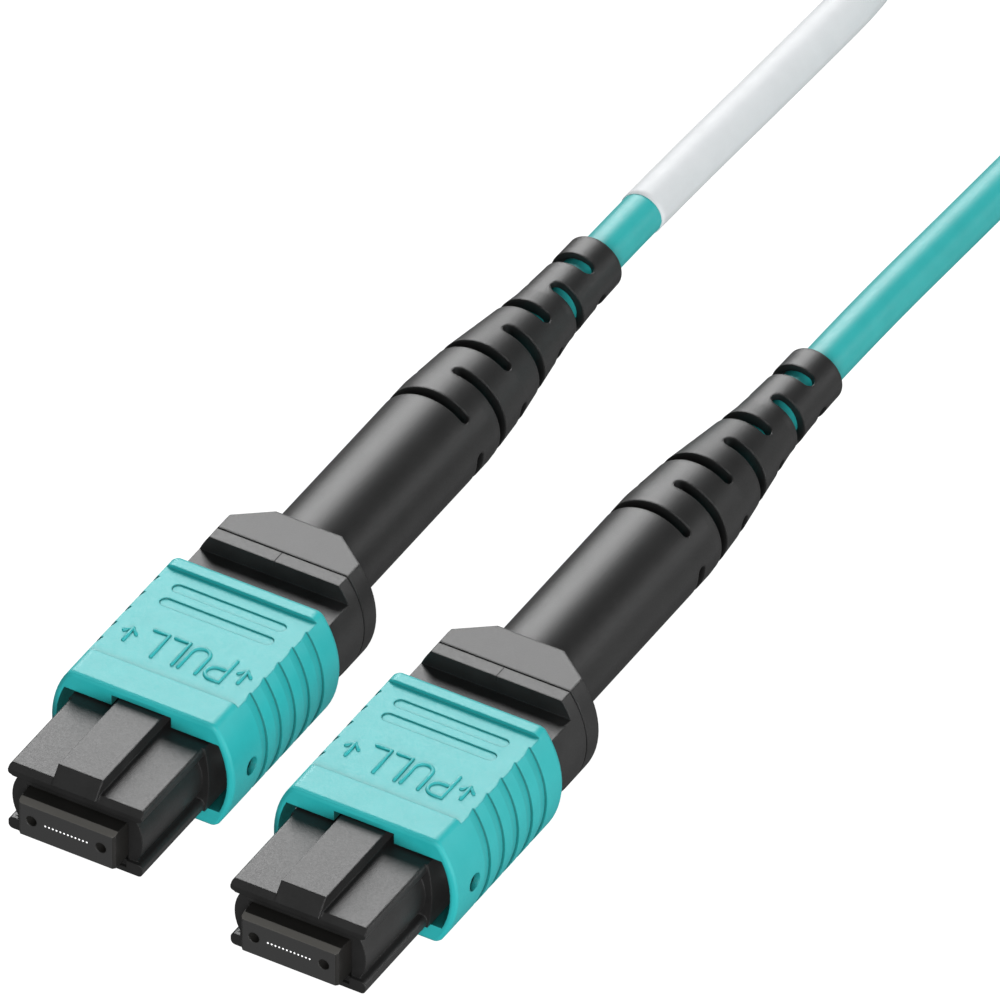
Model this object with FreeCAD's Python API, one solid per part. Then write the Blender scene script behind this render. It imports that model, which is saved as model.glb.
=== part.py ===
import FreeCAD
import Part

import math
import os

from FreeCAD import Vector

# Fibre optic patch cable with two multi-fibre push-on connectors and one round cable.
# Millimetres. +Y runs from the connectors towards the cable, +X to the right, +Z up.
# The connectors lie on the plane z = 0 on the flat bottoms of their coupling sleeves.
# The origin is on that plane, in the middle of the box round the two connectors.
# Inside a connector, y = 0 is the ferrule's end face and z = 0 is the axis of the housing.

# Placing of the two connectors
connector_pitch = 16.1
connector_stagger = 2.3

# Clearances
stop_gap = 0.02
slide_gap = 0.07
sleeve_gap = 0.15
seat_gap = 0.02

# Ferrule
ferrule_width = 6.4
ferrule_height = 2.5
ferrule_length = 8.0
ferrule_drop = 0.27
ferrule_travel = 0.8
flange_step = 0.25
flange_length = 2.0
nose_chamfer_back = 0.44
nose_chamfer_down = 0.2
nose_side_chamfer = 0.15
pin_pitch = 4.6
pin_hole_diameter = 0.7
glue_window_width = 3.2
glue_window_length = 1.6
glue_window_start = 3.2

# Fibres and ribbon
fibre_count = 12
fibre_pitch = 0.25
fibre_diameter = 0.125
fibre_sides = 8
ribbon_height = 0.32
bundle_diameter = 1.4
bundle_taper = 6.0

# Rubber boot behind the ferrule, and pin keeper
ferrule_boot_height = 1.3
ferrule_boot_wall = 0.2
ferrule_boot_tail = 0.9
ferrule_pocket = 1.6
keeper_thickness = 1.6
keeper_pin_gap = 0.2

# Ferrule spring
ferrule_spring_length = 5.0
ferrule_spring_turns = 4
ferrule_spring_wire = 0.36
ferrule_spring_width = 5.8
ferrule_spring_height = 2.9
spring_steps_per_turn = 12

# Plug frame
nose_protrusion = 1.0
window_side_gap = 0.17
window_top_gap = 0.13
frame_wall = 0.4
frame_floor = 0.49
frame_crown = 0.4
lobe_overhang = 0.52
lobe_round = 0.2
lobe_height = 0.66
lip_height = 0.82
lip_round = 0.3
web_slope = 0.2
nose_chamfer = 0.33
face_recess = 0.25
top_strip = 0.74
bottom_strip = 0.32
latch_channel = 6.8
latch_step = 0.45
latch_side_fall = 0.3
key_width = 2.95
key_height = 0.79
key_ramp = 0.87
key_overlap = 0.21
key_length = 10.5

# Coupling sleeve
sleeve_setback = 0.5
sleeve_length = 12.0
sleeve_side_wall = 0.4
sleeve_top_wall = 1.27
sleeve_travel = 1.8
rim_radius = 0.25
rim_steps = 2
latch_room = 0.9
opening_side_fall = 0.55
sleeve_side_radius = 6.25
sleeve_corner_radius = 0.6
notch_side_gap = 0.5
notch_top_gap = 0.08
notch_end_gap = 0.6
tooth_count = 5
tooth_pitch = 1.56
tooth_start = 3.9
tooth_ramp = 0.7
tooth_depth = 0.15
panel_start = 2.4
panel_depth = 0.25
rear_band = 0.9
slot_count = 2
slot_width = 0.75
slot_length = 7.5
slot_pitch = 1.37
slot_depth = 0.08
slot_to_band = 1.0
side_hole_diameter = 1.15
side_hole_setback = 2.1
side_hole_drop = 0.15

# Coupling springs and their seats
chamber_depth = 3.7
spring_ledge = 0.8
coupling_spring_length = 5.8
coupling_spring_turns = 5
coupling_spring_wire = 0.18
coupling_spring_diameter = 1.2
spring_room = 0.12

# Spring push, the rear body that closes the plug frame
rear_gap = 0.25
rear_drop = 0.08
ridge_height = 1.13
ridge_flat_fall = 1.1
ridge_length = 0.9
ridge_margin = 0.9
tongue_gap = 0.1
passage_width = 3.6
passage_height = 1.6
passage_depth = 2.0
post_diameter = 3.5
post_bore = 2.4
post_length = 6.1

# Crimp
yarn_thickness = 0.18
crimp_wall = 0.43
crimp_start = 1.2
crimp_neck_length = 3.3
crimp_gap = 0.2

# Strain relief boot
boot_rebate = 0.1
boot_rebate_inset = 0.35
flange_straight = 1.4
flange_chamfer = 1.6
flange_rear_flat = 2.2
barrel_diameter = 6.6
barrel_length = 15.3
taper_length = 16.85
taper_bend = 7.9
taper_bend_diameter = 4.88
taper_bulge = 0.12
taper_hollow = 0.12
tail_length = 3.0
tail_diameter = 3.78
end_diameter = 3.69
boot_bore_gap = 0.2
boot_cable_gap = 0.1
ring_count = 7
ring_setback = 1.65
ring_end_margin = 2.28
ring_width = 0.72
ring_growth = 0.05
ring_slot_angle = 130.0
ring_slot_narrowing = 5.5
ring_turn = 23.0

# Cable, label, coil and tie. Each lead point is a distance past the boot, a step to the side
# and a share of the way down to the surface.
cable_diameter = 2.7
cable_seam = 1.0
cable_lift = 0.15
bend_share = 0.45
label_start = 5.4
label_length = 26.0
label_thickness = 0.1
lead_run_a = [(5.5, 0.0, 0.0), (18.0, 0.0, 0.325), (30.6, 0.0, 0.69), (38.6, 2.15, 0.9)]
lead_run_b = [(5.5, 0.0, 0.0), (18.0, 0.0, 0.325), (31.5, 0.0, 0.78), (40.4, 2.35, 0.5)]
coil_turns_across = 4.35
coil_inner_diameters = 4.25
coil_layers = 2
coil_spacing = 0.05
coil_corner = 0.8
coil_distance = 58.5
coil_entry_angle = 222.0
tie_thickness = 0.4
tie_width = 4.5

# Widths of the nested pieces, from the ferrule outwards
flange_half = ferrule_width / 2 + flange_step
cavity_half = flange_half + slide_gap
channel_half = cavity_half + frame_wall
channel_crown = channel_half + frame_crown
lobe_half = channel_half + lobe_overhang
latch_crown = channel_crown + latch_step
latch_flat = latch_crown - latch_side_fall
opening_crown = latch_crown + latch_room
opening_flat = opening_crown - opening_side_fall
sleeve_crown = opening_crown + sleeve_side_wall
rear_crown = opening_crown - rear_gap
ridge_flat = rear_crown - ridge_flat_fall

# Heights of the nested pieces, measured from the housing axis
flange_height = ferrule_height + 2 * flange_step
cavity_height = flange_height + 2 * slide_gap
frame_half = cavity_height / 2 + ferrule_drop + frame_floor
opening_half = frame_half + sleeve_gap
sleeve_half = opening_half + sleeve_top_wall
key_top = frame_half + key_height
notch_top = key_top + notch_top_gap
rear_half = frame_half - rear_drop
ridge_half = rear_half + ridge_height

# Stations along the connector
flange_front = ferrule_length - flange_length
frame_front = nose_protrusion
latch_y = frame_front + latch_channel
sleeve_front = latch_y + sleeve_setback
sleeve_rear = sleeve_front + sleeve_length
ledge_front = sleeve_front + chamber_depth
ledge_rear = ledge_front + spring_ledge
frame_rear = ledge_rear + coupling_spring_length
keeper_rear = ferrule_length + keeper_thickness
tongue_front = keeper_rear + ferrule_spring_length
ridge_front = sleeve_rear + sleeve_travel + ridge_margin
parting_y = ridge_front + ridge_length
post_end = parting_y + post_length
flange_rear = parting_y + flange_straight
barrel_start = flange_rear + flange_chamfer
taper_start = barrel_start + barrel_length
boot_end = taper_start + taper_length
first_ring = taper_start - ring_setback
ring_pitch = (boot_end - ring_end_margin - first_ring) / (ring_count - 1)
crimp_front = parting_y + crimp_start
crimp_step = post_end + crimp_gap
crimp_end = crimp_step + crimp_neck_length

# Round sizes that follow from each other
cable_radius = cable_diameter / 2
post_radius = post_diameter / 2
yarn_inner = post_radius + seat_gap
yarn_outer = yarn_inner + yarn_thickness
crimp_inner = yarn_outer + seat_gap
crimp_outer = crimp_inner + crimp_wall
neck_inner = cable_radius + seat_gap
neck_outer = neck_inner + crimp_wall
groove_floor = latch_crown - coupling_spring_diameter / 2
spring_axis = groove_floor + spring_room + coupling_spring_diameter / 2

# A margin for cutters that start or end outside the solid that they cut
over = 1.0

connector_box_length = boot_end + connector_stagger
place_a = Vector(-connector_pitch / 2, connector_stagger - connector_box_length / 2, sleeve_half)
place_b = Vector(connector_pitch / 2, -connector_box_length / 2, sleeve_half)


def flipped(point):
    return (-point[0], point[1])


def outline(y, start, steps):
    """Closed wire across the connector at y, given by its right half from top to bottom.

    Each step is a list with an end point, or with a point on an arc and its end point.
    """
    corners = [start]
    for step in steps:
        corners.append(step[-1])
    path = list(steps)
    path.append([flipped(corners[-1])])
    for index in range(len(steps) - 1, -1, -1):
        back = [flipped(point) for point in steps[index][:-1]]
        path.append(back + [flipped(corners[index])])
    path.append([start])
    edges = []
    here = Vector(start[0], y, start[1])
    for step in path:
        there = Vector(step[-1][0], y, step[-1][1])
        if len(step) == 1:
            edges.append(Part.LineSegment(here, there).toShape())
        else:
            middle = Vector(step[0][0], y, step[0][1])
            edges.append(Part.Arc(here, middle, there).toShape())
        here = there
    return Part.Wire(edges)


def crowned(y, flat, half, crown):
    """Outline with flat top and bottom and sides that bulge to crown at mid height."""
    return outline(y, (flat, half), [[(crown, 0.0), (flat, -half)]])


def rounded_tab(reach, high, low, radius):
    """Steps of an outline round the two corners of a tab that reaches out to the right."""
    nook = radius * (1 - math.sqrt(0.5))
    return [
        [(reach - nook, high - nook), (reach, high - radius)],
        [(reach, low + radius)],
        [(reach - nook, low + nook), (reach - radius, low)],
    ]


def prism(wire, length):
    return Part.Face(wire).extrude(Vector(0, length, 0))


def loft(first, second):
    return Part.makeLoft([first, second], True, True)


def block(half_width, y_low, y_high, z_low, z_high):
    """Box centred on the connector's middle plane."""
    corner = Vector(-half_width, y_low, z_low)
    return Part.makeBox(2 * half_width, y_high - y_low, z_high - z_low, corner)


def rod(radius, y_low, y_high, x=0.0, z=0.0):
    return Part.makeCylinder(radius, y_high - y_low, Vector(x, y_low, z), Vector(0, 1, 0))


def fibre_prism(y_low, y_high, x, z):
    """Bare fibre, or its hole, with a few flat sides because it is so thin."""
    corners = []
    for side in range(fibre_sides):
        angle = 2 * math.pi * (side + 0.5) / fibre_sides
        across = x + fibre_diameter / 2 * math.cos(angle)
        upward = z + fibre_diameter / 2 * math.sin(angle)
        corners.append(Vector(across, y_low, upward))
    return prism(Part.makePolygon(corners + corners[:1]), y_high - y_low)


def side_extrusion(points, half_width):
    """Profile of (y, z) points, extruded across the connector."""
    corners = [Vector(-half_width, y, z) for y, z in points]
    wire = Part.makePolygon(corners + corners[:1])
    return Part.Face(wire).extrude(Vector(2 * half_width, 0, 0))


def coil_spring(wire_size, half_width, half_height, y_low, y_high, turns, x, z):
    """Compression spring of square wire round an oval of the given half sizes."""
    half = wire_size / 2
    rise = (y_high - y_low - wire_size) / turns
    sections = []
    for step in range(turns * spring_steps_per_turn + 1):
        turn = step / spring_steps_per_turn
        angle = 2 * math.pi * turn
        across = math.cos(angle)
        upward = math.sin(angle)
        centre = Vector(x + half_width * across, y_low + half + rise * turn, z + half_height * upward)
        outward = Vector(across * half_height, 0, upward * half_width).normalize() * half
        along = Vector(0, half, 0)
        corners = [
            centre - outward - along,
            centre + outward - along,
            centre + outward + along,
            centre - outward + along,
        ]
        sections.append(Part.makePolygon(corners + corners[:1]))
    return Part.makeLoft(sections, True, True)


def make_ferrule():
    half = ferrule_width / 2
    low = -ferrule_drop - ferrule_height / 2
    high = -ferrule_drop + ferrule_height / 2
    nose = side_extrusion(
        [
            (0, low),
            (0, high - nose_chamfer_down),
            (nose_chamfer_back, high),
            (ferrule_length, high),
            (ferrule_length, low),
        ],
        half,
    )
    flange = block(flange_half, flange_front, ferrule_length, low - flange_step, high + flange_step)
    body = nose.fuse(flange).removeSplitter()
    cutters = []
    for side in (-1, 1):
        x = side * pin_pitch / 2
        cutters.append(rod(pin_hole_diameter / 2, -over, ferrule_length + over, x, -ferrule_drop))
        corners = [
            Vector(side * (half - nose_side_chamfer - over), -over, low - over),
            Vector(side * (half + over), -over, low - over),
            Vector(side * (half + over), nose_side_chamfer + over, low - over),
        ]
        edge = Part.Face(Part.makePolygon(corners + corners[:1]))
        cutters.append(edge.extrude(Vector(0, 0, ferrule_height + 2 * over)))
    for x in fibre_places():
        cutters.append(fibre_prism(-over, glue_window_start + over / 2, x, -ferrule_drop))
    cutters.append(
        block(
            glue_window_width / 2,
            glue_window_start,
            glue_window_start + glue_window_length,
            -ferrule_drop - ribbon_height,
            high + over,
        )
    )
    tunnel = ribbon_height / 2 + slide_gap
    cutters.append(
        block(
            glue_window_width / 2,
            glue_window_start,
            ferrule_length + over,
            -ferrule_drop - tunnel,
            -ferrule_drop + tunnel,
        )
    )
    pocket = ferrule_boot_height / 2 + seat_gap
    cutters.append(
        block(
            boot_half_width() + seat_gap,
            ferrule_length - ferrule_pocket,
            ferrule_length + over,
            -ferrule_drop - pocket,
            -ferrule_drop + pocket,
        )
    )
    return body.cut(cutters)


def fibre_places():
    first = -fibre_pitch * (fibre_count - 1) / 2
    return [first + fibre_pitch * index for index in range(fibre_count)]


def ribbon_half_width():
    return fibre_pitch * fibre_count / 2


def boot_half_width():
    return ribbon_half_width() + slide_gap + ferrule_boot_wall


def make_fibre_ribbon():
    """Bare fibres in the ferrule, the ribbon behind them and the loose bundle in the post."""
    half = ribbon_half_width()
    ribbon_start = glue_window_start + glue_window_length / 2
    ribbon_end = tongue_front
    bundle_start = ribbon_end + bundle_taper
    bundle_end = post_end - ferrule_travel + stop_gap
    low = -ferrule_drop - ribbon_height / 2
    ribbon = block(half, ribbon_start, ribbon_end, low, low + ribbon_height)
    flat = outline(ribbon_end, (half, low + ribbon_height), [[(half, low)]])
    bundle_radius = bundle_diameter / 2
    square = bundle_radius * math.sqrt(0.5)
    round_in = outline(bundle_start, (square, square), [[(square, -square)]])
    taper = loft(flat, round_in)
    bundle = rod(bundle_radius, bundle_start, bundle_end)
    body = ribbon.fuse([taper, bundle])
    fibre_end = ribbon_start + ribbon_height / 2
    fibres = []
    for x in fibre_places():
        fibres.append(fibre_prism(0, fibre_end, x, -ferrule_drop))
    return body.fuse(fibres).removeSplitter()


def make_ferrule_boot():
    half_height = ferrule_boot_height / 2
    front = ferrule_length - ferrule_pocket + seat_gap
    rear = keeper_rear + ferrule_boot_tail
    low = -ferrule_drop - half_height
    body = block(boot_half_width(), front, rear, low, low + ferrule_boot_height)
    slot = ribbon_height / 2 + seat_gap
    ribbon_slot = block(
        ribbon_half_width() + seat_gap,
        front - over,
        rear + over,
        -ferrule_drop - slot,
        -ferrule_drop + slot,
    )
    return body.cut(ribbon_slot)


def make_pin_keeper():
    """Plate with a window for the ribbon that opens into a round-ended slot for each guide pin."""
    low = -ferrule_drop - flange_height / 2
    front = ferrule_length
    body = block(flange_half, front, keeper_rear, low, low + flange_height)
    window = ferrule_boot_height / 2 + seat_gap
    pin_room = pin_hole_diameter / 2 + keeper_pin_gap
    cutters = []
    for half_width, half_height in ((boot_half_width() + seat_gap, window), (pin_pitch / 2, pin_room)):
        low = -ferrule_drop - half_height
        cutters.append(block(half_width, front - over, keeper_rear + over, low, low + 2 * half_height))
    for side in (-1, 1):
        x = side * pin_pitch / 2
        cutters.append(rod(pin_room, front - over, keeper_rear + over, x, -ferrule_drop))
    return body.cut(cutters)


def make_plug_frame():
    lip_top = -frame_half + lip_height
    channel_top = frame_half - lobe_height - web_slope
    channel_low = lip_top + web_slope / 4
    channel = [
        [(channel_half, channel_top)],
        [(channel_crown, (channel_top + channel_low) / 2), (channel_half, channel_low)],
        [(lobe_half - lip_round, lip_top)],
    ]
    lobe = rounded_tab(lobe_half, frame_half, frame_half - lobe_height, lobe_round)
    lip = rounded_tab(lobe_half, lip_top, -frame_half, lip_round)
    front_outline = outline(frame_front, (lobe_half - lobe_round, frame_half), lobe + channel + lip)
    front = prism(front_outline, latch_channel)
    rear = prism(crowned(latch_y, latch_flat, frame_half, latch_crown), frame_rear - latch_y)
    key_front = frame_front - key_ramp * key_overlap / (key_height + key_overlap)
    key = side_extrusion(
        [
            (key_front, frame_half - key_overlap),
            (key_front + key_ramp, key_top),
            (frame_front + key_length, key_top),
            (frame_front + key_length, frame_half - key_overlap),
        ],
        key_width / 2,
    )
    window_half = ferrule_width / 2 + window_side_gap
    face_cuts = []
    for half, low in ((lobe_half + over, lip_top), (window_half, -frame_half + bottom_strip)):
        face_cuts.append(
            block(half, frame_front - over, frame_front + face_recess, low, frame_half - top_strip)
        )
    wedge = [
        (frame_front - over, frame_half - nose_chamfer - over),
        (frame_front - over, frame_half + over),
        (frame_front + nose_chamfer + over, frame_half + over),
    ]
    face_cuts.append(side_extrusion(wedge, lobe_half + over))
    body = front.cut(face_cuts).fuse([rear, key]).removeSplitter()
    window_height = ferrule_height / 2 + window_top_gap
    cavity = cavity_height / 2
    cutters = [
        block(
            window_half,
            frame_front - over,
            flange_front,
            -ferrule_drop - window_height,
            -ferrule_drop + window_height,
        ),
        block(
            cavity_half,
            flange_front - stop_gap,
            frame_rear + over,
            -ferrule_drop - cavity,
            -ferrule_drop + cavity,
        ),
    ]
    groove_half = coupling_spring_diameter / 2 + 2 * spring_room
    for side in (-1, 1):
        groove = Part.makeBox(
            latch_crown - groove_floor + over,
            frame_rear - ledge_front + stop_gap + over,
            2 * groove_half,
            Vector(groove_floor, ledge_front - stop_gap, -groove_half),
        )
        if side < 0:
            groove = groove.mirror(Vector(0, 0, 0), Vector(1, 0, 0))
        cutters.append(groove)
    return body.cut(cutters)


def sleeve_outline(y, inset, fall):
    """Outer outline of the sleeve, its sides drawn in by inset, its top and bottom by fall."""
    crown = sleeve_crown - inset
    top = sleeve_half - fall
    side_centre = crown - sleeve_side_radius
    inner_radius = sleeve_side_radius - sleeve_corner_radius
    corner_z = top - sleeve_corner_radius
    turn = math.asin(corner_z / inner_radius)
    flat = side_centre + inner_radius * math.cos(turn)
    shoulder = (
        side_centre + sleeve_side_radius * math.cos(turn),
        sleeve_side_radius * math.sin(turn),
    )
    half_way = (turn + math.pi / 2) / 2
    corner = (
        flat + sleeve_corner_radius * math.cos(half_way),
        corner_z + sleeve_corner_radius * math.sin(half_way),
    )
    return outline(
        y,
        (flat, top),
        [
            [corner, shoulder],
            [(crown, 0.0), (shoulder[0], -shoulder[1])],
            [(corner[0], -corner[1]), (flat, -top)],
        ],
    )


def rounded_rim(rim_y, inward):
    """Quarter round of short tapers from a rim of the sleeve; inward is 1 or -1 along the axis."""
    stages = []
    for step in range(rim_steps + 1):
        angle = math.pi / 2 * step / rim_steps
        depth = rim_radius * (1 - math.cos(angle))
        inset = rim_radius * (1 - math.sin(angle))
        stages.append(sleeve_outline(rim_y + inward * depth, inset, inset))
    return [loft(first, second) for first, second in zip(stages, stages[1:])]


def make_sleeve_outside():
    """Straight stretches and tapering grip teeth, each with a wall that faces forwards."""
    pieces = rounded_rim(sleeve_front, 1) + rounded_rim(sleeve_rear, -1)
    here = sleeve_front + rim_radius
    for tooth in range(tooth_count):
        wall = sleeve_front + tooth_start + tooth * tooth_pitch
        ramp = wall - tooth_ramp
        pieces.append(prism(sleeve_outline(here, 0.0, 0.0), ramp - here))
        pieces.append(loft(sleeve_outline(ramp, 0.0, 0.0), sleeve_outline(wall, tooth_depth, 0.0)))
        here = wall
    pieces.append(prism(sleeve_outline(here, 0.0, 0.0), sleeve_rear - rim_radius - here))
    return pieces[0].fuse(pieces[1:]).removeSplitter()


def top_slot(y):
    """Shallow recess with round ends across the top panel."""
    reach = slot_length / 2 - slot_width / 2
    floor = sleeve_half - panel_depth - slot_depth
    bar = block(reach, y - slot_width / 2, y + slot_width / 2, floor, sleeve_half + over)
    ends = []
    for side in (-1, 1):
        foot = Vector(side * reach, y, floor)
        ends.append(Part.makeCylinder(slot_width / 2, sleeve_half + over - floor, foot))
    return bar.fuse(ends)


def make_coupling_sleeve():
    body = make_sleeve_outside()
    step_y = sleeve_rear - rear_band
    panel_y = sleeve_front + panel_start
    panel_floor = sleeve_half - panel_depth
    opening = crowned(sleeve_front - over, opening_flat, opening_half, opening_crown)
    cutters = [prism(opening, sleeve_length + 2 * over)]
    for floor in (panel_floor, -panel_floor - over):
        cutters.append(block(sleeve_crown + over, panel_y, step_y, floor, floor + over))
    notch_half = key_width / 2 + notch_side_gap
    notch_end = frame_front + key_length + notch_end_gap
    cutters.append(block(notch_half, sleeve_front - over, notch_end, 0.0, notch_top))
    for index in range(slot_count):
        cutters.append(top_slot(step_y - slot_to_band - slot_width / 2 - index * slot_pitch))
    for side in (-1, 1):
        mouth = Vector(side * opening_flat, sleeve_front + side_hole_setback, -side_hole_drop)
        reach = sleeve_crown + over - opening_flat
        hole = Part.makeCylinder(side_hole_diameter / 2, reach, mouth, Vector(side, 0, 0))
        cutters.append(hole)
    shell = body.cut(cutters)
    ledge_half = coupling_spring_diameter / 2 + spring_room
    ledges = []
    for side in (-1, 1):
        inner = groove_floor + spring_room
        outer = opening_crown + sleeve_side_wall / 4
        corner = Vector(inner, ledge_front, -ledge_half)
        ledge = Part.makeBox(outer - inner, spring_ledge, 2 * ledge_half, corner)
        if side < 0:
            ledge = ledge.mirror(Vector(0, 0, 0), Vector(1, 0, 0))
        ledges.append(ledge)
    return shell.fuse(ledges).removeSplitter()


def make_spring_push():
    head = prism(crowned(frame_rear, ridge_flat, ridge_half, rear_crown), parting_y - frame_rear)
    lower = []
    for z in (rear_half, -rear_half - ridge_half):
        lower.append(block(rear_crown + over, frame_rear - over, ridge_front, z, z + ridge_half))
    head = head.cut(lower)
    half_height = cavity_height / 2 - tongue_gap
    tongue = block(
        cavity_half - tongue_gap,
        tongue_front,
        frame_rear,
        -ferrule_drop - half_height,
        -ferrule_drop + half_height,
    )
    post = rod(post_radius, parting_y, post_end)
    body = head.fuse([tongue, post]).removeSplitter()
    passage = block(
        passage_width / 2,
        tongue_front - over,
        frame_rear + passage_depth,
        -ferrule_drop - passage_height / 2,
        -ferrule_drop + passage_height / 2,
    )
    bore = rod(post_bore / 2, frame_rear, post_end + over)
    return body.cut([passage, bore])


def make_aramid_yarn():
    core = rod(yarn_inner, crimp_front - over, post_end + over)
    return rod(yarn_outer, crimp_front, post_end).cut(core)


def make_crimp_ring():
    barrel = rod(crimp_outer, crimp_front, crimp_step + crimp_wall)
    neck = rod(neck_outer, crimp_step, crimp_end)
    body = barrel.fuse(neck).removeSplitter()
    return body.cut(
        [
            rod(crimp_inner, crimp_front - over, crimp_step),
            rod(neck_inner, crimp_step - over, crimp_end + over),
        ]
    )


def make_cable_end():
    return rod(cable_radius, crimp_step + 2 * seat_gap, boot_end - cable_seam)


def bowed(first, second, bulge):
    """Point between two points of the boot's profile, moved outwards from the straight line."""
    along = (second - first).normalize()
    outward = Vector(along.y, -along.x, 0)
    return (first + second) * 0.5 + outward * bulge


def boot_profile():
    """Outline of barrel, tapering shoulder and tail, turned about the axis."""
    barrel = barrel_diameter / 2
    bend = taper_bend_diameter / 2
    tail = tail_diameter / 2
    bend_y = taper_start + taper_bend
    tail_y = boot_end - tail_length
    shoulder = [Vector(barrel, taper_start, 0), Vector(bend, bend_y, 0)]
    hollow = [shoulder[1], Vector(tail, tail_y, 0)]
    corners = [
        Vector(0, flange_rear, 0),
        Vector(barrel, flange_rear, 0),
        shoulder[0],
        bowed(shoulder[0], shoulder[1], taper_bulge),
        shoulder[1],
        bowed(hollow[0], hollow[1], -taper_hollow),
        hollow[1],
        Vector(end_diameter / 2, boot_end, 0),
        Vector(0, boot_end, 0),
    ]
    return Part.Face(Part.makePolygon(corners + corners[:1]))


def turned(shape, angle):
    """Copy of shape turned about the connector's axis, from +X towards +Z."""
    copy = shape.copy()
    copy.rotate(Vector(0, 0, 0), Vector(0, 1, 0), -angle)
    return copy


def ring_slots():
    """Pairs of opposite slots with round ends, each ring a quarter turn from the next."""
    inner = cable_radius / 2
    outer = barrel_diameter
    cutters = []
    for ring in range(ring_count):
        y = first_ring + ring * ring_pitch
        width = ring_width + ring_growth * ring
        reach = ring_slot_angle - ring_slot_narrowing * ring
        corner = Vector(inner, y - width / 2, 0)
        strip = Part.makePlane(outer - inner, width, corner)
        sector = strip.revolve(Vector(0, 0, 0), Vector(0, 1, 0), -reach)
        end = Part.makeCylinder(width / 2, outer - inner, Vector(inner, y, 0), Vector(1, 0, 0))
        first = 90.0 - 90.0 * (ring % 2) + ring_turn - reach / 2
        for start in (first, first + 180.0):
            cutters.append(turned(sector, start))
            cutters.append(turned(end, start))
            cutters.append(turned(end, start + reach))
    return cutters


def make_strain_relief_boot():
    section = crowned(parting_y, ridge_flat, ridge_half, rear_crown)
    flange = prism(section, flange_straight)
    rear_crowning = rear_crown - ridge_flat
    shoulder = loft(
        crowned(flange_rear, ridge_flat, ridge_half, rear_crown),
        crowned(barrel_start, flange_rear_flat, ridge_half, flange_rear_flat + rear_crowning),
    )
    turned_body = boot_profile().revolve(Vector(0, 0, 0), Vector(0, 1, 0), 360)
    body = flange.fuse([shoulder, turned_body]).removeSplitter()
    around = crowned(parting_y - over, ridge_flat + over, ridge_half + over, rear_crown + over)
    rim = prism(around, over + boot_rebate)
    seat = prism(
        crowned(
            parting_y - 2 * over,
            ridge_flat - boot_rebate_inset,
            ridge_half - boot_rebate_inset,
            rear_crown - boot_rebate_inset,
        ),
        3 * over,
    )
    cutters = [
        rim.cut(seat),
        rod(crimp_outer + boot_bore_gap, parting_y - over, crimp_end + crimp_gap),
        rod(cable_radius + boot_cable_gap, parting_y, boot_end + over),
    ]
    return body.cut(cutters + ring_slots())


def make_connector():
    """The pieces of one connector, by name."""
    pieces = {
        "coupling_sleeve": make_coupling_sleeve(),
        "plug_frame": make_plug_frame(),
        "mt_ferrule": make_ferrule(),
        "fibre_ribbon": make_fibre_ribbon(),
        "ferrule_boot": make_ferrule_boot(),
        "pin_keeper": make_pin_keeper(),
        "ferrule_spring": coil_spring(
            ferrule_spring_wire,
            (ferrule_spring_width - ferrule_spring_wire) / 2,
            (ferrule_spring_height - ferrule_spring_wire) / 2,
            keeper_rear + seat_gap,
            tongue_front - seat_gap,
            ferrule_spring_turns,
            0.0,
            -ferrule_drop,
        ),
        "spring_push": make_spring_push(),
        "aramid_yarn": make_aramid_yarn(),
        "crimp_ring": make_crimp_ring(),
        "cable_end": make_cable_end(),
        "strain_relief_boot": make_strain_relief_boot(),
    }
    ring = (coupling_spring_diameter - coupling_spring_wire) / 2
    for name, side in (("coupling_spring_left", -1), ("coupling_spring_right", 1)):
        pieces[name] = coil_spring(
            coupling_spring_wire,
            ring,
            ring,
            ledge_rear + seat_gap,
            frame_rear - seat_gap,
            coupling_spring_turns,
            side * spring_axis,
            0.0,
        )
    return pieces


def route_path(points):
    """Straight runs joined by tangent arcs, each arc as large as its two runs allow."""
    edges = []
    radii = []
    here = points[0]
    for before, corner, after in zip(points, points[1:], points[2:]):
        arriving = (corner - before).normalize()
        leaving = (after - corner).normalize()
        tangent = bend_share * min((corner - before).Length, (after - corner).Length)
        half_turn = arriving.getAngle(leaving) / 2
        radius = tangent / math.tan(half_turn)
        start = corner - arriving * tangent
        end = corner + leaving * tangent
        inward = (leaving - arriving).normalize()
        middle = corner + inward * (radius / math.cos(half_turn) - radius)
        edges.append(Part.LineSegment(here, start).toShape())
        edges.append(Part.Arc(start, middle, end).toShape())
        radii.append(round(radius, 1))
        here = end
    edges.append(Part.LineSegment(here, points[-1]).toShape())
    return Part.Wire(edges), radii


def tube(points, radius):
    path, radii = route_path(points)
    start = points[0]
    profile = Part.Wire(Part.Circle(start, points[1] - start, radius).toShape())
    return path.makePipeShell([profile], True, False), path.Length, radii


coil_pitch = cable_diameter + coil_spacing
coil_inner = coil_inner_diameters * cable_diameter
coil_outer = coil_inner + (coil_turns_across - 1) * coil_pitch
coil_floor = tie_thickness
coil_low = coil_floor + cable_radius
coil_high = coil_low + (coil_layers - 1) * cable_diameter
coil_centre = Vector(0, connector_box_length / 2 + coil_distance, 0)


def coil_point(angle, radius, z):
    """Point on a turn of the coil, with the angle counted from +X."""
    across = radius * math.cos(math.radians(angle))
    along = radius * math.sin(math.radians(angle))
    return coil_centre + Vector(across, along, z)


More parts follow.
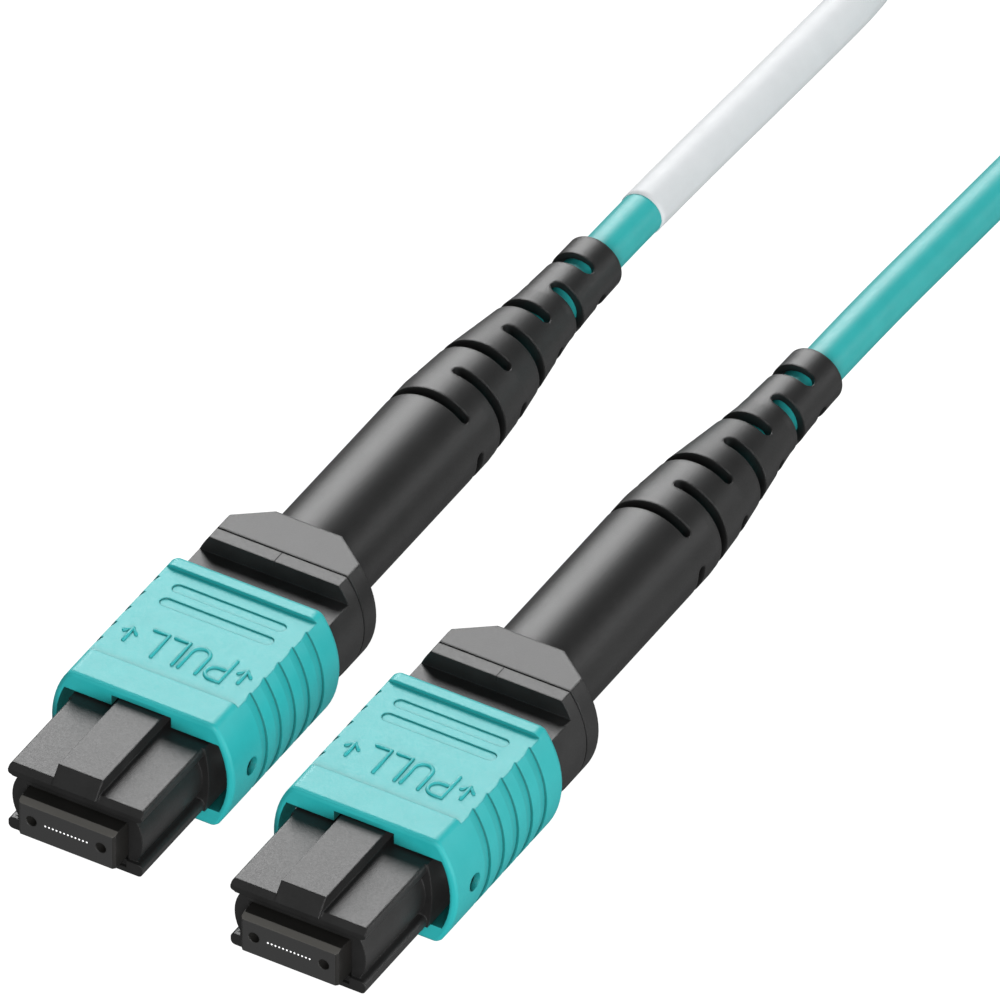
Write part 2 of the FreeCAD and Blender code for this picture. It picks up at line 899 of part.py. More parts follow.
def coil_ring(grow):
    """Wound turns as one ring with broken corners, grown by a wall all round."""
    low = coil_floor - grow
    high = coil_floor + coil_layers * cable_diameter + grow
    inner = coil_inner - cable_radius - grow
    outer = coil_outer + cable_radius + grow
    cut = coil_corner
    section = [
        (inner + cut, low),
        (outer - cut, low),
        (outer, low + cut),
        (outer, high - cut),
        (outer - cut, high),
        (inner + cut, high),
        (inner, high - cut),
        (inner, low + cut),
    ]
    corners = [coil_centre + Vector(radius, 0, z) for radius, z in section]
    face = Part.Face(Part.makePolygon(corners + corners[:1]))
    return face.revolve(coil_centre, Vector(0, 0, 1), 360)


def make_tie(coil):
    """Band wrapped round the section of the coil, on its far side."""
    reach = coil_outer + cable_diameter
    stretch = Part.makeBox(tie_width, reach, reach, coil_centre + Vector(-tie_width / 2, 0, 0))
    return coil_ring(tie_thickness).common(stretch).cut(coil)


def make_label(points, lead):
    wrapped = tube(points, cable_radius + label_thickness)[0]
    start = points[0].y + cable_seam + label_start
    reach = 2 * cable_diameter
    stretch = Part.makeBox(
        2 * reach,
        label_length,
        2 * reach,
        Vector(points[0].x - reach, start, points[0].z - reach),
    )
    return wrapped.common(stretch).cut(lead)


def make_leads():
    """Free cable from each boot to the coil, cut to the coil's outer wall."""
    wall_height = 2 * coil_layers * cable_diameter
    wall = Part.makeCylinder(coil_outer + cable_radius, wall_height, coil_centre)
    leads = {}
    for name, points in (("cable_lead_a", route_a), ("cable_lead_b", route_b)):
        lead, length, radii = tube(points, cable_radius)
        section = math.pi * cable_radius ** 2
        print(name, "arc radii", radii, "length", round(length, 1))
        print(name, "volume over section times length", round(lead.Volume / (section * length), 5))
        outside = lead.cut(wall)
        leads[name] = max(outside.Solids, key=lambda solid: solid.Volume)
    return leads


def lead_route(exit_point, outward, run, last):
    """Points of the free cable from its seam in the boot to the coil."""
    sink = exit_point.z - cable_radius - cable_lift
    points = [exit_point - Vector(0, cable_seam, 0)]
    for past, aside, share in run:
        points.append(exit_point + Vector(outward * aside, past, -share * sink))
    points.append(last)
    return points


# The cable leaves each boot level, sinks to the surface and turns out to the side of the coil
exit_a = place_a + Vector(0, boot_end, 0)
exit_b = place_b + Vector(0, boot_end, 0)
coil_start = coil_point(coil_entry_angle, coil_outer, coil_low)
coil_finish = coil_point(180.0 - coil_entry_angle, coil_outer, coil_high)
route_a = lead_route(exit_a, -1, lead_run_a, coil_start)
route_b = lead_route(exit_b, 1, lead_run_b, coil_finish)

nodes = {}
pieces = make_connector()
for suffix, place in (("a", place_a), ("b", place_b)):
    for name, piece in pieces.items():
        nodes[name + "_" + suffix] = piece.translated(place)
coil = coil_ring(0.0)
nodes["cable_coil"] = coil
nodes["coil_tie"] = make_tie(coil)
nodes.update(make_leads())
nodes["label_sleeve"] = make_label(route_a, nodes["cable_lead_a"])

os.makedirs("parts", exist_ok=True)
for name, shape in nodes.items():
    shape.exportStep("parts/" + name + ".step")
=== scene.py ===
import math

import bpy
import bmesh
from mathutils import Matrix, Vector


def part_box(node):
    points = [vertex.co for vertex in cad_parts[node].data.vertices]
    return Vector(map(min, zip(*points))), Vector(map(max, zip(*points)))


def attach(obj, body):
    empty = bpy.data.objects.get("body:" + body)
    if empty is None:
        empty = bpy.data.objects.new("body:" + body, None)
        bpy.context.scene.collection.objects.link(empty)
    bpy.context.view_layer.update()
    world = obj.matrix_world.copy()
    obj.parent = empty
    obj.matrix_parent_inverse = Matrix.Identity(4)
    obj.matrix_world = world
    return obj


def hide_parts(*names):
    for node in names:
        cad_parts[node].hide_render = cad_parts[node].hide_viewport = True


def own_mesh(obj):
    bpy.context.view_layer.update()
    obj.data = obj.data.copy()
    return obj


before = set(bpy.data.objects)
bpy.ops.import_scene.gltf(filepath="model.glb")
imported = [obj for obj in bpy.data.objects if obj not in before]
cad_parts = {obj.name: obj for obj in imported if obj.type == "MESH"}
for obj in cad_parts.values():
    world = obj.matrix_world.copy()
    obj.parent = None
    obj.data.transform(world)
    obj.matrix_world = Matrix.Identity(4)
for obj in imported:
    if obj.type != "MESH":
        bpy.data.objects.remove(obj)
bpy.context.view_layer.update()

# Looks of a fibre optic patch cable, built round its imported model. Lengths are in metres.
MM = 0.001
SIDES = ("a", "b")

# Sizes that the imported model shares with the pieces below
CABLE_DIAMETER = 2.7 * MM
COIL_CENTRE = Vector((0.0, 89.175, 0.0)) * MM
COIL_OUTER = 20.6875 * MM
COIL_INNER = 11.475 * MM
COIL_LOW = 1.75 * MM
COIL_HIGH = 4.45 * MM
COIL_ENTRY = math.radians(222.0)
FERRULE_SPRING_WIRE = 0.36 * MM
FERRULE_SPRING_TURNS = 4
COUPLING_SPRING_WIRE = 0.18 * MM
COUPLING_SPRING_TURNS = 5

# The free cable starts this far inside a boot, and the label this far behind the boot
CABLE_SEAM = 1.0 * MM
LABEL_START = 5.4 * MM
LABEL_LENGTH = 27.2 * MM

# Middle of each ferrule's face across and along, and the top panel of the sleeves, in millimetres
FRONTS = {"a": (-8.05, -28.375), "b": (8.05, -30.675)}
PANEL_TOP = 7.25

# Free cable from each boot to the coil, in millimetres
ROUTE_A = [
    (-8.05, 29.675, 3.75),
    (-8.05, 36.175, 3.75),
    (-8.05, 53.675, 2.60),
    (-8.05, 64.275, 2.06),
    (-10.20, 69.275, 1.73),
]
ROUTE_B = [
    (8.05, 27.375, 3.75),
    (8.05, 33.875, 3.75),
    (8.05, 46.375, 2.85),
    (8.05, 59.875, 2.00),
    (10.40, 68.775, 2.63),
]

# Softboxes, and two bounce lights below the floor's level for what a white floor throws back.
# Each has its place, its size, its power in watts and whether it casts shadows.
LIGHTS = [
    ("softbox_back", (-0.33, 0.56, 0.55), 0.4, 4.8, True),
    ("softbox_left", (-0.55, 0.56, 0.32), 0.4, 3.2, True),
    ("softbox_right", (0.68, 0.5, 0.23), 0.4, 1.3, True),
    ("softbox_front", (0.33, -0.7, 0.35), 0.4, 5.5, True),
    ("bounce_right", (0.8, -0.2, -0.08), 0.4, 3.2, False),
    ("bounce_back", (0.5, 0.57, -0.35), 0.6, 0.4, True),
]
WHITE = (1.0, 1.0, 1.0, 1.0)


class Nodes:
    """A new material's node tree, with short calls to add and join nodes."""

    # Most noise values lie in this range
    noise_range = (0.3, 0.7)

    def __init__(self, name):
        self.material = bpy.data.materials.new(name)
        self.material.use_nodes = True
        self.tree = self.material.node_tree
        self.shader = self.tree.nodes["Principled BSDF"]
        coordinates = self.add("ShaderNodeTexCoord")
        self.place = coordinates.outputs["Object"]
        self.facing = coordinates.outputs["Normal"]

    def add(self, kind, **values):
        node = self.tree.nodes.new(kind)
        for key, value in values.items():
            setattr(node, key, value)
        return node

    def join(self, output, socket):
        self.tree.links.new(output, socket)

    def noise(self, size, detail, roughness=0.5):
        """Noise with features of about the given size in metres."""
        node = self.add("ShaderNodeTexNoise")
        node.inputs["Scale"].default_value = 1.0 / size
        node.inputs["Detail"].default_value = detail
        node.inputs["Roughness"].default_value = roughness
        self.join(self.place, node.inputs["Vector"])
        return node.outputs["Fac"]

    def remap(self, value, before, after):
        """Value carried from one range of numbers to another."""
        node = self.add("ShaderNodeMapRange")
        node.inputs["From Min"].default_value = before[0]
        node.inputs["From Max"].default_value = before[1]
        node.inputs["To Min"].default_value = after[0]
        node.inputs["To Max"].default_value = after[1]
        self.join(value, node.inputs["Value"])
        return node.outputs["Result"]

    def blend(self, value, first, second):
        """Colour between two colours, by a value from 0 to 1."""
        node = self.add("ShaderNodeMix", data_type="RGBA")
        node.inputs["A"].default_value = (*first, 1.0)
        node.inputs["B"].default_value = (*second, 1.0)
        self.join(value, node.inputs["Factor"])
        return node.outputs["Result"]

    def clouds(self, size, detail, first, second):
        """Colour that drifts between two colours."""
        cloud = self.remap(self.noise(size, detail), self.noise_range, (0.0, 1.0))
        return self.blend(cloud, first, second)

    def source(self, name):
        """Output that feeds a socket of the shader now."""
        return self.shader.inputs[name].links[0].from_socket

    def share(self, vector, axis):
        node = self.add("ShaderNodeSeparateXYZ")
        self.join(vector, node.inputs["Vector"])
        return node.outputs[axis]

    def math(self, operation, value, *numbers):
        """Result of a sum on a value. The numbers after it are constants or other values."""
        node = self.add("ShaderNodeMath", operation=operation)
        self.join(value, node.inputs[0])
        for socket, number in zip(node.inputs[1:], numbers):
            if isinstance(number, float):
                socket.default_value = number
            else:
                self.join(number, socket)
        return node.outputs["Value"]

    def tint(self, mask, colour, tint):
        """Colour with another one where the mask is 1."""
        node = self.add("ShaderNodeMix", data_type="RGBA")
        self.join(colour, node.inputs["A"])
        node.inputs["B"].default_value = (*tint, 1.0)
        self.join(mask, node.inputs["Factor"])
        return node.outputs["Result"]

    def grain(self, value, height, edge):
        """Fine relief of the given height, over edges rounded by the given radius, in metres."""
        node = self.add("ShaderNodeBump")
        if edge:
            rounded = self.add("ShaderNodeBevel", samples=4)
            rounded.inputs["Radius"].default_value = edge
            self.join(rounded.outputs["Normal"], node.inputs["Normal"])
        node.inputs["Strength"].default_value = 1.0
        node.inputs["Distance"].default_value = height
        self.join(value, node.inputs["Height"])
        self.join(node.outputs["Normal"], self.shader.inputs["Normal"])


def grey(level):
    return (level, level, level)


def moulded(
    name, dark, light, gloss, grain_size, grain_height, edge=0.12 * MM, mark_and_painted_light=None
):
    """Moulded plastic: slight clouds in colour, uneven gloss, fine grain, and maybe a mould mark,
    painted shade or painted light added on top.
    """
    cloud_size = 1.5 * MM
    cloud_detail = 4.0
    grain_detail = 3.0
    grain_roughness = 0.6
    nodes = Nodes(name)
    colour = nodes.clouds(cloud_size, cloud_detail, dark, light)
    nodes.join(colour, nodes.shader.inputs["Base Color"])
    fine = nodes.noise(grain_size, grain_detail, grain_roughness)
    nodes.join(nodes.remap(fine, nodes.noise_range, gloss), nodes.shader.inputs["Roughness"])
    nodes.grain(fine, grain_height, edge)
    if mark_and_painted_light:
        mark_and_painted_light(nodes)
    return nodes.material


def painted_hollow_shade(nodes):
    """Painted shade: colour darkened towards a deep aqua in grooves, in corners and inside the
    sleeve, where ambient occlusion finds them closed in.
    """
    reach = 2.0 * MM
    closed_to_open = (0.3, 0.75)
    # Painted shade: the dark aqua that closed-in places are darkened towards
    painted_shade_aqua = (0.001, 0.06, 0.055)
    hollow = nodes.add("ShaderNodeAmbientOcclusion", samples=8)
    hollow.inputs["Distance"].default_value = reach
    mask = nodes.remap(hollow.outputs["AO"], closed_to_open, (1.0, 0.0))
    colour = nodes.tint(mask, nodes.source("Base Color"), painted_shade_aqua)
    nodes.join(colour, nodes.shader.inputs["Base Color"])


def painted_light_nose(nodes):
    """Painted light on the ferrule: its front face and the chamfer above it get paler colours,
    picked by the way they face.
    """
    face_lean, face_play = -1.0, 0.05
    chamfer_lean, chamfer_play = -0.414, 0.1
    # Painted light: paler colours for the front face and for the chamfer above it
    painted_light_face = grey(0.036)
    painted_light_chamfer = (0.09, 0.087, 0.08)
    forward = nodes.share(nodes.facing, "Y")
    face = nodes.math("COMPARE", forward, face_lean, face_play)
    chamfer = nodes.math("COMPARE", forward, chamfer_lean, chamfer_play)
    colour = nodes.tint(face, nodes.source("Base Color"), painted_light_face)
    colour = nodes.tint(chamfer, colour, painted_light_chamfer)
    nodes.join(colour, nodes.shader.inputs["Base Color"])


def mould_line(nodes):
    """Thin matt line of the mould's split over the top ridge, in the middle of each connector."""
    half_width = 0.03 * MM
    ridge_low = 6.8 * MM
    beside = nodes.math("ABSOLUTE", nodes.share(nodes.place, "X"))
    middle = nodes.math("COMPARE", beside, FRONTS["b"][0] * MM, half_width)
    top = nodes.math("GREATER_THAN", nodes.share(nodes.place, "Z"), ridge_low)
    line = nodes.math("MULTIPLY", middle, top)
    matt = nodes.math("MAXIMUM", nodes.source("Roughness"), line)
    nodes.join(matt, nodes.shader.inputs["Roughness"])


BLACK_PLASTIC = {
    "dark": grey(0.008),
    "light": grey(0.013),
    "gloss": (0.44, 0.515),
    "grain_size": 0.12 * MM,
    "grain_height": 0.004 * MM,
}
housing_plastic = moulded("housing_plastic", **BLACK_PLASTIC)
push_plastic = moulded("push_plastic", **BLACK_PLASTIC, mark_and_painted_light=mould_line)
sleeve_plastic = moulded(
    "sleeve_plastic",
    dark=(0.015, 0.41, 0.42),
    light=(0.021, 0.44, 0.45),
    gloss=(0.42, 0.55),
    grain_size=0.09 * MM,
    grain_height=0.003 * MM,
    # painted shade in the sleeve's grooves, corners and inside
    mark_and_painted_light=painted_hollow_shade,
)
ferrule_plastic = moulded(
    "ferrule_plastic",
    dark=(0.008, 0.008, 0.007),
    light=(0.012, 0.011, 0.01),
    gloss=(0.4, 0.55),
    grain_size=0.06 * MM,
    grain_height=0.003 * MM,
    # painted light on the ferrule's front face and chamfer
    mark_and_painted_light=painted_light_nose,
)
boot_rubber = moulded(
    "boot_rubber",
    dark=grey(0.004),
    light=grey(0.007),
    gloss=(0.42, 0.52),
    grain_size=0.08 * MM,
    grain_height=0.004 * MM,
    edge=0.2 * MM,
)
inner_rubber = moulded(
    "inner_rubber",
    dark=grey(0.06),
    light=grey(0.08),
    gloss=(0.6, 0.8),
    grain_size=0.1 * MM,
    grain_height=0.004 * MM,
)
cable_jacket = moulded(
    "cable_jacket",
    dark=(0.018, 0.37, 0.37),
    light=(0.024, 0.4, 0.4),
    gloss=(0.42, 0.5),
    grain_size=0.3 * MM,
    grain_height=0.002 * MM,
)
label_film = moulded(
    "label_film",
    dark=(0.62, 0.64, 0.655),
    light=(0.65, 0.67, 0.685),
    gloss=(0.5, 0.6),
    grain_size=0.4 * MM,
    grain_height=0.001 * MM,
    edge=0.0,
)
tie_fabric = moulded(
    "tie_fabric",
    dark=(0.012, 0.012, 0.013),
    light=(0.05, 0.05, 0.055),
    gloss=(0.8, 1.0),
    grain_size=0.2 * MM,
    grain_height=0.05 * MM,
)
glowing_fibre_glass = moulded(
    "glowing_fibre_glass",
    dark=(0.85, 0.86, 0.86),
    light=(0.95, 0.95, 0.94),
    gloss=(0.1, 0.2),
    grain_size=0.05 * MM,
    grain_height=0.0,
)
yarn = moulded(
    "yarn",
    dark=(0.62, 0.42, 0.05),
    light=(0.8, 0.6, 0.12),
    gloss=(0.5, 0.7),
    grain_size=0.15 * MM,
    grain_height=0.02 * MM,
)
spring_steel = moulded(
    "spring_steel",
    dark=grey(0.5),
    light=grey(0.6),
    gloss=(0.25, 0.35),
    grain_size=0.1 * MM,
    grain_height=0.001 * MM,
)
crimp_metal = moulded(
    "crimp_metal",
    dark=(0.55, 0.55, 0.56),
    light=(0.66, 0.66, 0.67),
    gloss=(0.3, 0.42),
    grain_size=0.15 * MM,
    grain_height=0.002 * MM,
)
# Painted glow: the fibre ribbon shines by itself, so its ends show as bright dots on the ferrule's
# face
painted_glow = glowing_fibre_glass.node_tree.nodes["Principled BSDF"]
painted_glow.inputs["Emission Color"].default_value = WHITE
painted_glow.inputs["Emission Strength"].default_value = 0.8
for metal in (spring_steel, crimp_metal):
    metal.node_tree.nodes["Principled BSDF"].inputs["Metallic"].default_value = 1.0

FINISHES = {
    "coupling_sleeve": sleeve_plastic,
    "plug_frame": housing_plastic,
    "mt_ferrule": ferrule_plastic,
    "fibre_ribbon": glowing_fibre_glass,
    "ferrule_boot": inner_rubber,
    "pin_keeper": housing_plastic,
    "ferrule_spring": spring_steel,
    "coupling_spring_left": spring_steel,
    "coupling_spring_right": spring_steel,
    "spring_push": push_plastic,
    "aramid_yarn": yarn,
    "crimp_ring": crimp_metal,
    "cable_end": cable_jacket,
    "strain_relief_boot": boot_rubber,
    "cable_lead": cable_jacket,
}


def finish_node(name, material):
    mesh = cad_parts[name].data
    mesh.materials.clear()
    mesh.materials.append(material)


for name, material in FINISHES.items():
    for side in SIDES:
        finish_node(name + "_" + side, material)
finish_node("cable_coil", cable_jacket)
finish_node("coil_tie", tie_fabric)
finish_node("label_sleeve", label_film)


def smooth(share):
    """Share from 0 to 1 that starts and stops gently."""
    share = min(max(share, 0.0), 1.0)
    return share * share * (3.0 - 2.0 * share)


def coil_points():
    """Turns of the cable: in on the lower layer, up at the inside and out on the upper one.

    The two ends leave the coil at mirrored places. While the cable climbs, it runs further in to
    clear the turns beside it.
    """
    points_per_turn = 24
    full_turns = 7.0
    climb_turns = 1.0
    climb_dip = 1.1 * MM
    dip_lead = 0.35
    dip_length = 0.4
    total = full_turns + COIL_ENTRY / math.pi - 0.5
    turns_across = (total - climb_turns) / 2
    points = []
    for step in range(1, round(total * points_per_turn)):
        turn = step / points_per_turn
        inward = min(turn, turns_across, total - turn)
        climbed = min(max(turn - turns_across, 0.0), 1.0)
        rise = smooth((turn - turns_across + dip_lead) / dip_length)
        fall = smooth((turns_across + climb_turns + dip_lead - turn) / dip_length)
        radius = COIL_OUTER - (COIL_OUTER - COIL_INNER) * inward / turns_across
        radius -= climb_dip * min(rise, fall)
        angle = COIL_ENTRY - 2 * math.pi * turn
        height = COIL_LOW + (COIL_HIGH - COIL_LOW) * climbed
        across, along = radius * math.cos(angle), radius * math.sin(angle)
        points.append(COIL_CENTRE + Vector((across, along, height)))
    return points


def spline_curve(name, points):
    """Curve object of one smooth open spline with these control points."""
    steps_per_point = 6
    curve = bpy.data.curves.new(name, "CURVE")
    curve.dimensions = "3D"
    spline = curve.splines.new("NURBS")
    spline.points.add(len(points) - 1)
    for target, point in zip(spline.points, points):
        target.co = (*point, 1.0)
    spline.order_u = 3
    spline.use_endpoint_u = True
    spline.resolution_u = steps_per_point
    curve.resolution_u = steps_per_point
    piece = bpy.data.objects.new(name, curve)
    bpy.context.collection.objects.link(piece)
    return piece


def make_cable():
    start = [Vector(point) * MM for point in ROUTE_A]
    end = [Vector(point) * MM for point in ROUTE_B]
    cable = spline_curve("cable", start + coil_points() + end[::-1])
    cable.data.bevel_depth = CABLE_DIAMETER / 2
    cable.data.bevel_resolution = 6
    cable.data.use_fill_caps = True
    cable.data.materials.append(cable_jacket)
    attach(cable, "cable")
    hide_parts("cable_lead_a", "cable_lead_b", "cable_coil")
    return cable


def route_line(curve_object):
    """Points along the smooth line of a curve, without its thickness."""
    plain = curve_object.copy()
    plain.data = curve_object.data.copy()
    plain.data.bevel_depth = 0.0
    bpy.context.collection.objects.link(plain)
    mesh = bpy.data.meshes.new_from_object(plain)
    points = [vertex.co.copy() for vertex in mesh.vertices]
    bpy.data.objects.remove(plain)
    bpy.data.meshes.remove(mesh)
    return points


def stretch(points, start, length, steps):
    """Points and directions at equal steps on a stretch of a line."""
    places = []
    walked = 0.0
    wanted = [start + length * step / steps for step in range(steps + 1)]
    for here, there in zip(points, points[1:]):
        run = (there - here).length
        while wanted and wanted[0] <= walked + run:
            share = (wanted.pop(0) - walked) / run
            places.append((here.lerp(there, share), (there - here).normalized()))
        walked += run
    return places


def skin(shape, rings, smooth_faces):
    """Faces from each ring of points to the next one, all the way round."""
    for first, second in zip(rings, rings[1:]):
        for step in range(len(first)):
            after = (step + 1) % len(first)
            corners = (first[step], first[after], second[after], second[step])
            shape.faces.new(corners).smooth = smooth_faces


def close_ends(shape, rings):
    shape.faces.new(rings[0])
    shape.faces.new(rings[-1][::-1])


def mesh_piece(name, shape, material):
    """Object of one material from the faces made so far."""
    bmesh.ops.recalc_face_normals(shape, faces=shape.faces)
    mesh = bpy.data.meshes.new(name)
    shape.to_mesh(mesh)
    shape.free()
    mesh.materials.append(material)
    piece = bpy.data.objects.new(name, mesh)
    bpy.context.collection.objects.link(piece)
    return piece


def make_label(points):
    """Film wrapped once round the cable, its free edge lying over its first one."""
    start = CABLE_SEAM + LABEL_START
    along_steps = 60
    around = 64
    film = 0.03 * MM
    inner = CABLE_DIAMETER / 2 - film
    seam = math.radians(200.0)
    places = stretch(points, start, LABEL_LENGTH, along_steps)
    shape = bmesh.new()
    rings = []
    for place, along in places[:1] + places + places[-1:]:
        lift = 0.0 if len(rings) in (0, len(places) + 1) else 2 * film
        across = along.cross(Vector((0.0, 0.0, 1.0))).normalized()
        up = across.cross(along)
        ring = []
        for step in range(around + 1):
            angle = seam + 2 * math.pi * step / around
            radius = inner + lift + film * step / around
            spot = place + across * math.cos(angle) * radius + up * math.sin(angle) * radius
            ring.append(shape.verts.new(spot))
        rings.append(ring)
    skin(shape, rings[:2], False)
    skin(shape, rings[1:-1], True)
    skin(shape, rings[-2:], False)
    label = mesh_piece("label", shape, label_film)
    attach(label, "cable")
    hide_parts("label_sleeve")
    return label


def tie_line(half_wide, half_high, corner, lap, lift):
    """Line round the coil's section from the middle of its top, with the direction off the coil.

    The end runs on over the start by the lap, lifted off it.
    """
    steps = 8
    corners = [
        (half_wide - corner, half_high - corner, 90.0),
        (half_wide - corner, corner - half_high, 0.0),
        (corner - half_wide, corner - half_high, -90.0),
        (corner - half_wide, half_high - corner, 180.0),
    ]
    line = []
    for across, up, first in corners:
        for step in range(steps + 1):
            angle = math.radians(first - 90.0 * step / steps)
            away = Vector((math.cos(angle), math.sin(angle)))
            line.append((Vector((across, up)) + away * corner, away))
    above = Vector((0.0, 1.0))
    line.insert(0, (Vector((-0.5 * lap, half_high)), above))
    rise = [(-0.9, 0.0), (-0.75, 0.3), (-0.6, 0.9), (-0.5, 1.0), (0.0, 1.0), (0.5, 1.0)]
    for share, height in rise:
        line.append((Vector((share * lap, half_high + lift * height)), above))
    return line


def make_tie(points):
    """Strap of hook and loop fabric round the far side of the coil, its end lapped on its start."""
    thick = 0.4 * MM
    wide = 4.5 * MM
    edge = 0.12 * MM
    corner = 1.5 * MM
    lap = 7.0 * MM
    lift = thick * 1.05
    turns = [
        point.y - COIL_CENTRE.y
        for point in points
        if abs(point.x) < wide / 2 and point.y > COIL_CENTRE.y
    ]
    section_wide = max(turns) - min(turns) + CABLE_DIAMETER + thick
    section_high = COIL_HIGH - COIL_LOW + CABLE_DIAMETER + thick
    outward = (max(turns) + min(turns)) / 2
    middle = COIL_CENTRE + Vector((0.0, outward, (COIL_LOW + COIL_HIGH) / 2))
    half = thick / 2
    border = [
        (wide / 2, edge - half),
        (wide / 2, half - edge),
        (wide / 2 - edge, half),
        (edge - wide / 2, half),
        (-wide / 2, half - edge),
        (-wide / 2, edge - half),
        (edge - wide / 2, -half),
        (wide / 2 - edge, -half),
    ]
    shape = bmesh.new()
    rings = []
    for place, away in tie_line(section_wide / 2, section_high / 2, corner, lap, lift):
        ring = []
        for aside, out in border:
            spot = place + away * out
            ring.append(shape.verts.new(middle + Vector((aside, spot[0], spot[1]))))
        rings.append(ring)
    skin(shape, rings, False)
    close_ends(shape, rings)
    tie = mesh_piece("tie", shape, tie_fabric)
    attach(tie, "cable")
    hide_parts("coil_tie")
    return tie


cable = make_cable()
cable_line = route_line(cable)
label = make_label(cable_line)
tie = make_tie(cable_line)


def arc(centre, radius, first, last, steps=10):
    """Points of an arc, with its angles in degrees."""
    points = []
    for step in range(steps + 1):
        angle = math.radians(first + (last - first) * step / steps)
        across = centre[0] + radius * math.cos(angle)
        points.append((across, centre[1] + radius * math.sin(angle)))
    return points


def mark_strokes():
    """Raised strokes on a sleeve's top as a reader sees them, in millimetres from their middle."""
    half = 1.05
    width = 1.15
    bowl = 0.55
    foot = width * 0.85
    p_middle, u_middle = -2.3, -0.75
    l_middles = (0.8, 2.2)
    arrow_middles = (-3.85, 3.75)
    arrow_top, arrow_tip = 0.55, -0.6
    barb = 0.4
    strokes = []
    left = p_middle - width / 2
    bowl_start = left + width - bowl
    strokes.append(
        [(left, -half), (left, half), (bowl_start, half)]
        + arc((bowl_start, half - bowl), bowl, 90.0, -90.0)
        + [(left, half - 2 * bowl)]
    )
    left = u_middle - width / 2
    turn = width / 2
    strokes.append(
        [(left, half), (left, turn - half)]
        + arc((left + turn, turn - half), turn, 180.0, 360.0)
        + [(left + width, half)]
    )
    for middle in l_middles:
        left = middle - width / 2
        strokes.append([(left, half), (left, -half), (left + foot, -half)])
    for middle in arrow_middles:
        tip = (middle, arrow_tip)
        strokes.append([(middle, arrow_top), tip])
        strokes.append([(middle - barb, arrow_tip + barb), tip, (middle + barb, arrow_tip + barb)])
    return strokes


def rounded_ends(stroke, radius):
    """Stroke as points with thickness shares, drawn to a round tip at both ends."""
    shoulder, shoulder_share = 0.7, 0.7
    tip_share = 0.1
    line = [(Vector(point), 1.0) for point in stroke]
    for end, beside in ((0, 1), (-1, -2)):
        tip = line[end][0]
        outward = (tip - line[beside][0]).normalized() * radius
        extra = [(tip + outward * shoulder, shoulder_share), (tip + outward, tip_share)]
        line = extra[::-1] + line if end == 0 else line + extra
    return line


def make_marks(side):
    """Moulded word and arrows on the top panel of a sleeve, with their feet towards the cable."""
    stroke_radius = 0.13
    row = 13.1
    across, along = FRONTS[side]
    curve = bpy.data.curves.new("marks", "CURVE")
    curve.dimensions = "3D"
    curve.bevel_depth = stroke_radius * MM
    curve.bevel_resolution = 2
    for stroke in mark_strokes():
        line = rounded_ends(stroke, stroke_radius)
        spline = curve.splines.new("POLY")
        spline.points.add(len(line) - 1)
        for target, (point, share) in zip(spline.points, line):
            station = row - point[1]
            place = Vector((across - point[0], along + station, PANEL_TOP)) * MM
            target.co = (*place, 1.0)
            target.radius = share
    shape = bpy.data.objects.new("marks", curve)
    bpy.context.collection.objects.link(shape)
    mesh = bpy.data.meshes.new_from_object(shape)
    bpy.data.objects.remove(shape)
    bpy.data.curves.remove(curve)
    mesh.polygons.foreach_set("use_smooth", [True] * len(mesh.polygons))
    mesh.materials.clear()
    mesh.materials.append(sleeve_plastic)
    marks = bpy.data.objects.new("sleeve_marks_" + side, mesh)
    bpy.context.collection.objects.link(marks)
    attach(marks, "sleeve_" + side)


def make_spring(node, wire, turns):
    """Round-wire spring in the place of a packed one."""
    steps_per_turn = 24
    sides = 8
    low, high = (Vector(corner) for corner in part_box(node))
    middle = (low + high) / 2
    size = high - low
    shape = bmesh.new()
    rings = []
    for step in range(turns * steps_per_turn + 1):
        turn = step / steps_per_turn
        angle = 2 * math.pi * turn
        across, upward = math.cos(angle), math.sin(angle)
        place = Vector((
            middle.x + (size.x - wire) / 2 * across,
            low.y + wire / 2 + (size.y - wire) * turn / turns,
            middle.z + (size.z - wire) / 2 * upward,
        ))
        outward = Vector((across * (size.z - wire), 0.0, upward * (size.x - wire))).normalized()
        ring = []
        for number in range(sides):
            round_wire = 2 * math.pi * number / sides
            spot = outward * math.cos(round_wire) + Vector((0.0, math.sin(round_wire), 0.0))
            ring.append(shape.verts.new(place + spot * wire / 2))
        rings.append(ring)
    skin(shape, rings, True)
    close_ends(shape, rings)
    spring = mesh_piece("wound_" + node, shape, spring_steel)
    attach(spring, "cable")
    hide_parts(node)
    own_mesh(spring)


for side in SIDES:
    make_marks(side)
for side in SIDES:
    make_spring(
        "ferrule_spring_" + side,
        FERRULE_SPRING_WIRE,
        FERRULE_SPRING_TURNS,
    )
    for place in ("left_", "right_"):
        make_spring(
            "coupling_spring_" + place + side,
            COUPLING_SPRING_WIRE,
            COUPLING_SPRING_TURNS,
        )


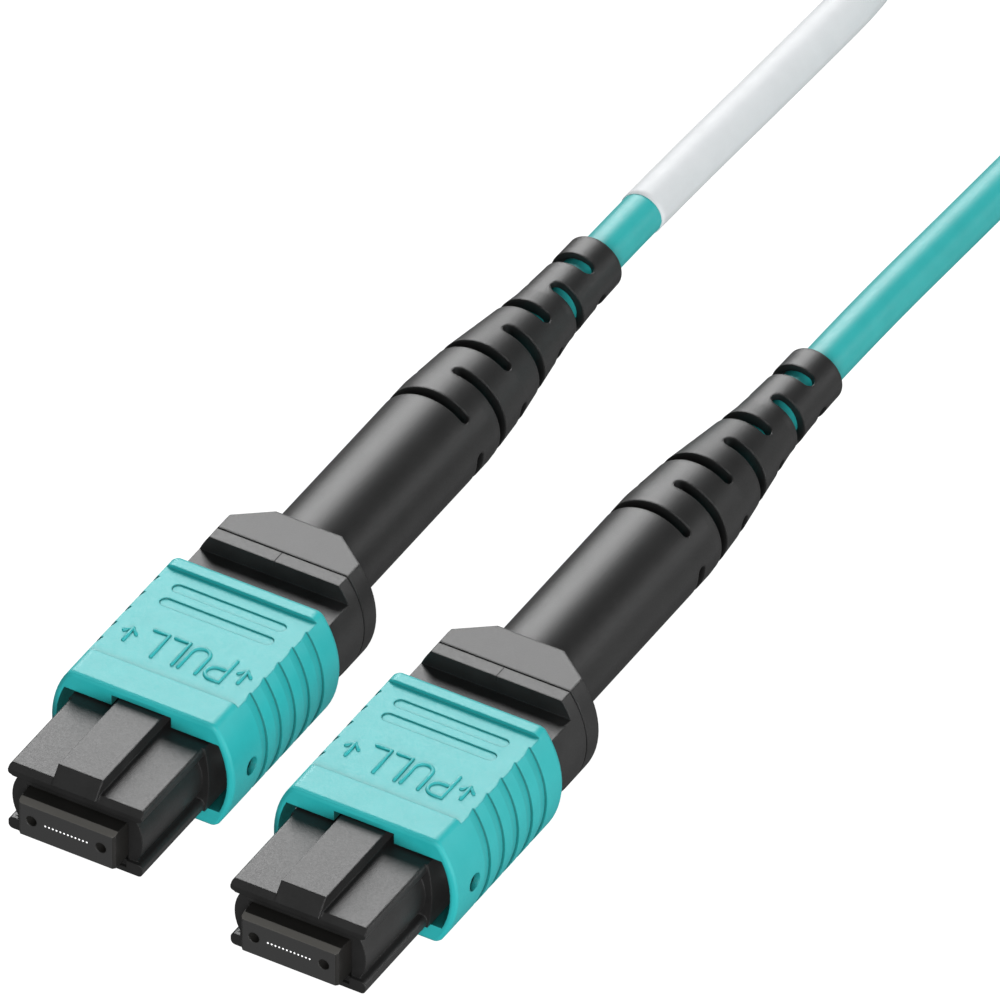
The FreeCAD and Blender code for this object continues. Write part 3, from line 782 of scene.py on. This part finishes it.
def make_floor():
    """White floor that shines by itself, so that it stays plain, and lights nothing else."""
    half = 3.0
    grain_size = 3.0 * MM
    grain_detail = 3.0
    mesh = bpy.data.meshes.new("floor")
    corners = [(-half, -half, 0.0), (half, -half, 0.0), (half, half, 0.0), (-half, half, 0.0)]
    mesh.from_pydata(corners, [], [(0, 1, 2, 3)])
    nodes = Nodes("floor_white")
    paper = nodes.clouds(grain_size, grain_detail, grey(0.1), grey(0.12))
    nodes.join(paper, nodes.shader.inputs["Base Color"])
    nodes.shader.inputs["Roughness"].default_value = 0.9
    nodes.shader.inputs["Emission Color"].default_value = WHITE
    nodes.shader.inputs["Emission Strength"].default_value = 1.0
    mesh.materials.append(nodes.material)
    floor = bpy.data.objects.new("floor", mesh)
    bpy.context.collection.objects.link(floor)
    floor.visible_glossy = False
    floor.visible_diffuse = False
    floor.visible_shadow = False


def make_lights():
    aim = Vector((0.0, 0.01, 0.004))
    for name, place, size, power, shadow in LIGHTS:
        light = bpy.data.lights.new(name, "AREA")
        light.shape = "DISK"
        light.size = size
        light.energy = power
        light.use_shadow = shadow
        lamp = bpy.data.objects.new(name, light)
        lamp.location = place
        lamp.rotation_mode = "QUATERNION"
        lamp.rotation_quaternion = (aim - Vector(place)).to_track_quat("-Z", "Y")
        bpy.context.collection.objects.link(lamp)
    world = bpy.data.worlds.new("studio")
    world.use_nodes = True
    sky = world.node_tree.nodes["Background"]
    sky.inputs["Color"].default_value = WHITE
    sky.inputs["Strength"].default_value = 0.18
    bpy.context.scene.world = world


def make_camera():
    """Long lens at the photograph's angle, aimed at the middle of its frame."""
    azimuth = math.radians(30.62)
    elevation = math.radians(39.74)
    distance = 1.95
    frame_width = 57.39 * MM
    aim = Vector((-2.01, 9.75, 3.43)) * MM
    data = bpy.data.cameras.new("camera")
    data.sensor_width = 36.0
    data.lens = data.sensor_width * distance / frame_width
    data.clip_start = 0.1
    data.clip_end = 50.0
    camera = bpy.data.objects.new("camera", data)
    level = math.cos(elevation)
    back = Vector((
        math.sin(azimuth) * level,
        -math.cos(azimuth) * level,
        math.sin(elevation),
    ))
    camera.location = aim + back * distance
    camera.rotation_mode = "QUATERNION"
    camera.rotation_quaternion = (-back).to_track_quat("-Z", "Y")
    bpy.context.collection.objects.link(camera)
    bpy.context.scene.camera = camera


make_floor()
make_lights()
make_camera()
bpy.context.scene.view_settings.view_transform = "Standard"
